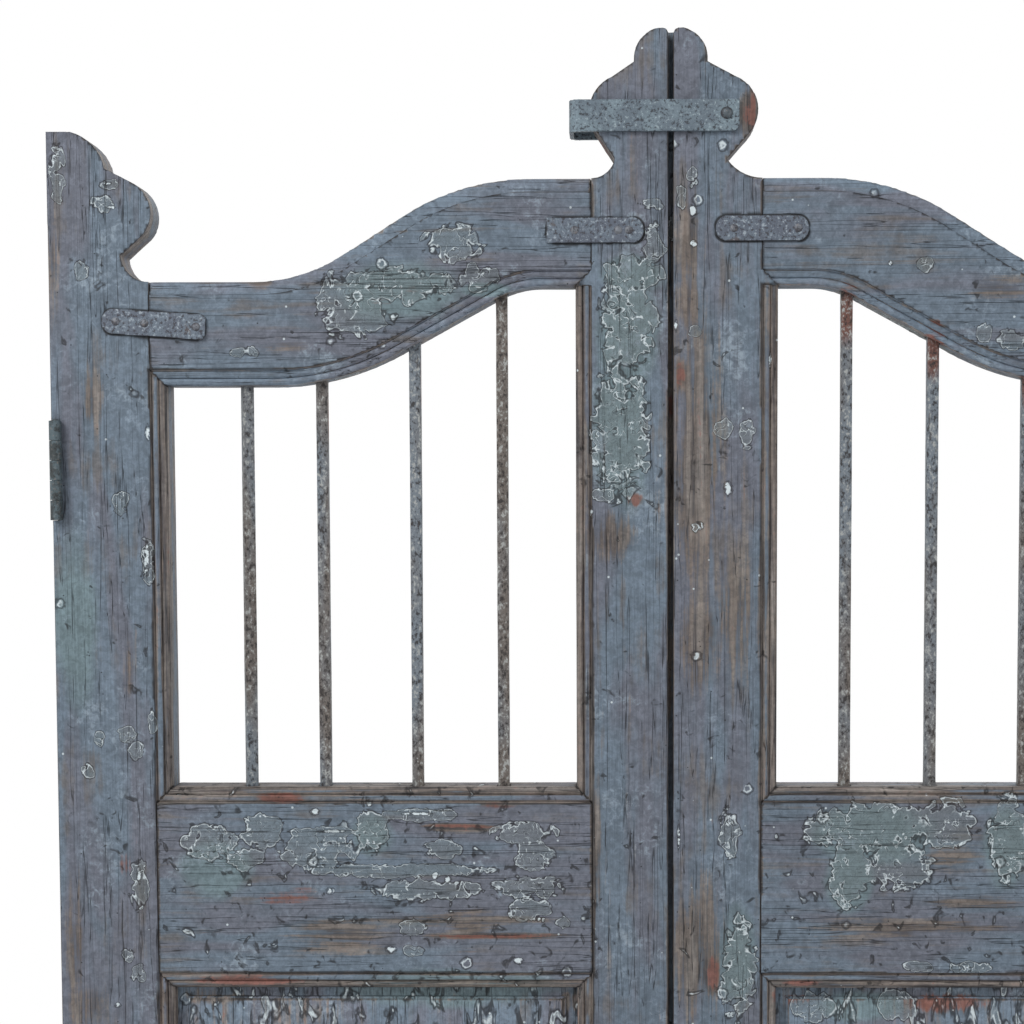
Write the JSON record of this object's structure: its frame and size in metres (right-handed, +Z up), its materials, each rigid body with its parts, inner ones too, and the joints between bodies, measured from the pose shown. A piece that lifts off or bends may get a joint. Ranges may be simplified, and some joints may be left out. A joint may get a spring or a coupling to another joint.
{
  "type": "wooden door",
  "caption": "Half-height wooden courtyard door with swept top rails, carved stile tops, iron bars over solid lower panels, joint straps, butt hinges and a turning iron latch hoop.",
  "frame": {"origin": "on the floor line, midway between the pair's outer edges and midway through the leaves' thickness; the meeting gap lies 6 mm to its left, because the right leaf is wider by its rebate", "axes": "+Z up, +X towards the right leaf's hinges, the moulded front faces -Y"},
  "size_m": [1.266, 0.0618, 1.3205],
  "materials": {
    "painted_wood": "old blue-grey paint, flaking over grey-brown wood",
    "bar_iron": "bare iron with a brown rust skin",
    "painted_strap": "painted with the door, worn to iron",
    "nail_iron": "forged heads, paint worn off",
    "latch_iron": "pitted blue-grey iron",
    "hinge_iron": "dark iron with remains of paint"
  },
  "bodies": {
    "leaves": {"left_hanging_stile": "painted_wood", "left_meeting_stile": "painted_wood", "left_top_rail": "painted_wood", "left_mid_rail": "painted_wood", "left_bottom_rail": "painted_wood", "left_panel": "painted_wood", "left_bar_1": "bar_iron", "left_bar_2": "bar_iron", "left_bar_3": "bar_iron", "left_bar_4": "bar_iron", "left_outer_strap": "painted_strap", "left_inner_strap": "painted_strap", "left_outer_strap_nails": "nail_iron", "left_inner_strap_nails": "nail_iron", "left_upper_door_plate": "hinge_iron", "left_upper_hinge_pin": "hinge_iron", "left_upper_hinge_screws": "hinge_iron", "left_lower_door_plate": "hinge_iron", "left_lower_hinge_pin": "hinge_iron", "left_lower_hinge_screws": "hinge_iron", "right_hanging_stile": "painted_wood", "right_meeting_stile": "painted_wood", "right_top_rail": "painted_wood", "right_mid_rail": "painted_wood", "right_bottom_rail": "painted_wood", "right_panel": "painted_wood", "right_bar_1": "bar_iron", "right_bar_2": "bar_iron", "right_bar_3": "bar_iron", "right_bar_4": "bar_iron", "right_outer_strap": "painted_strap", "right_inner_strap": "painted_strap", "right_outer_strap_nails": "nail_iron", "right_inner_strap_nails": "nail_iron", "right_upper_door_plate": "hinge_iron", "right_upper_hinge_pin": "hinge_iron", "right_upper_hinge_screws": "hinge_iron", "right_lower_door_plate": "hinge_iron", "right_lower_hinge_pin": "hinge_iron", "right_lower_hinge_screws": "hinge_iron", "latch_pin": "latch_iron"},
    "latch": {"latch_hoop": "latch_iron"},
    "left_post_plates": {"left_upper_post_plate": "hinge_iron", "left_lower_post_plate": "hinge_iron"},
    "right_post_plates": {"right_upper_post_plate": "hinge_iron", "right_lower_post_plate": "hinge_iron"}
  },
  "joints": [
    {"name": "latch_turn", "type": "hinge", "parent": "leaves", "child": "latch", "pos_m": [0.0495, 0, 1.2352], "axis": [0, 1, 0], "range_deg": [-16, 198]},
    {"name": "left_hinge_swing", "type": "hinge", "parent": "leaves", "child": "left_post_plates", "pos_m": [-0.6268, -0.0266, 0.8815], "axis": [0, 0, 1], "range_deg": [0, 180]},
    {"name": "right_hinge_swing", "type": "hinge", "parent": "leaves", "child": "right_post_plates", "pos_m": [0.6268, -0.0266, 0.8815], "axis": [0, 0, -1], "range_deg": [0, 180]}
  ]
}
